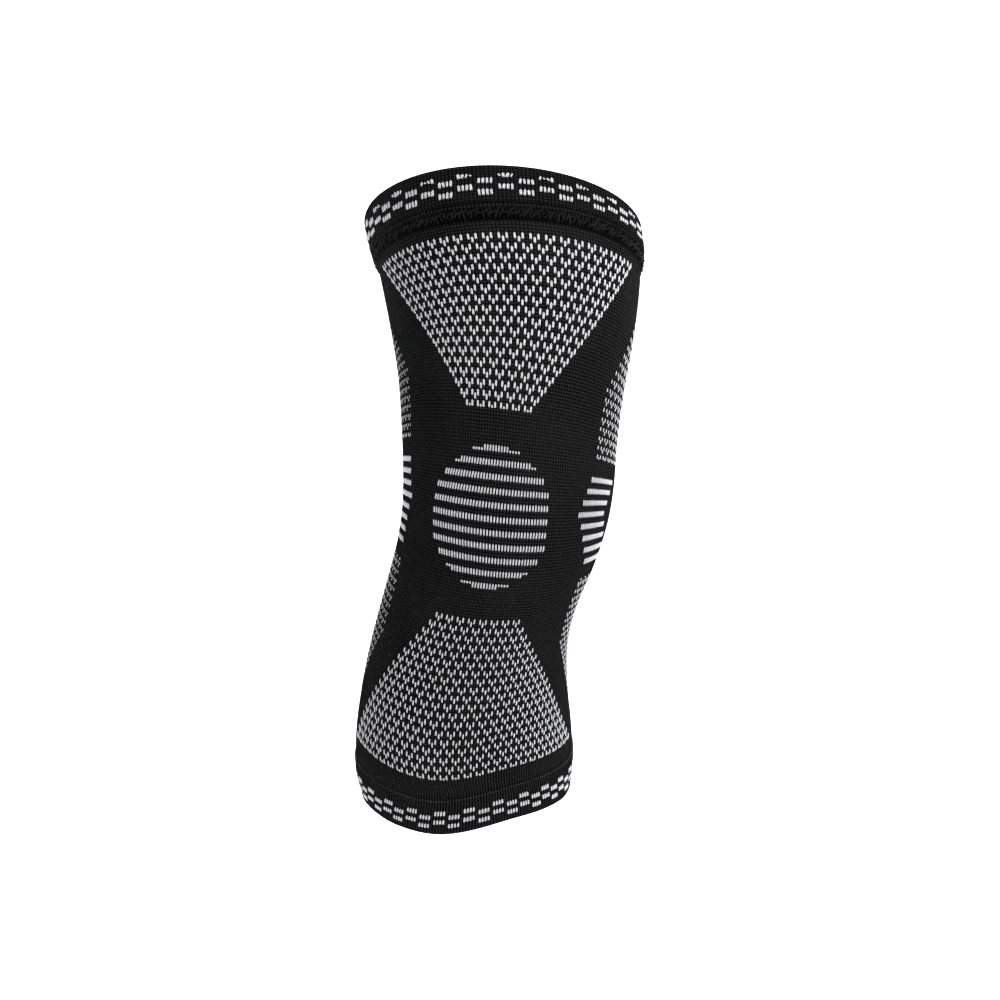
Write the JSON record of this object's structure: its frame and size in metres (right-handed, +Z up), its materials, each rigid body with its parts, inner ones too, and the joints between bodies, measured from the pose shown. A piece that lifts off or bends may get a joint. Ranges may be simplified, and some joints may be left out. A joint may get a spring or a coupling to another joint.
{
  "type": "knee sleeve",
  "caption": "Black knitted compression sleeve in its worn shape: a bent open tube with a sewn band at each end and white stitch patterns.",
  "frame": {"origin": "middle of the leg at the kneecap, inside the open tube", "axes": "+Z up the leg towards the thigh, -Y to the front of the knee, +X to the right as seen from the front"},
  "size_m": [0.1541, 0.1591, 0.3347],
  "materials": {
    "black_knit": "ribbed stretch knit, matt",
    "cuff_knit": "dense doubled knit, matt",
    "seam_thread": "overlocked thread, matt",
    "white_yarn": "white yarn stitches, matt"
  },
  "bodies": {
    "root": {"knit_body": "black_knit", "top_cuff": "cuff_knit", "top_seam": "seam_thread", "bottom_cuff": "cuff_knit"}
  },
  "joints": []
}
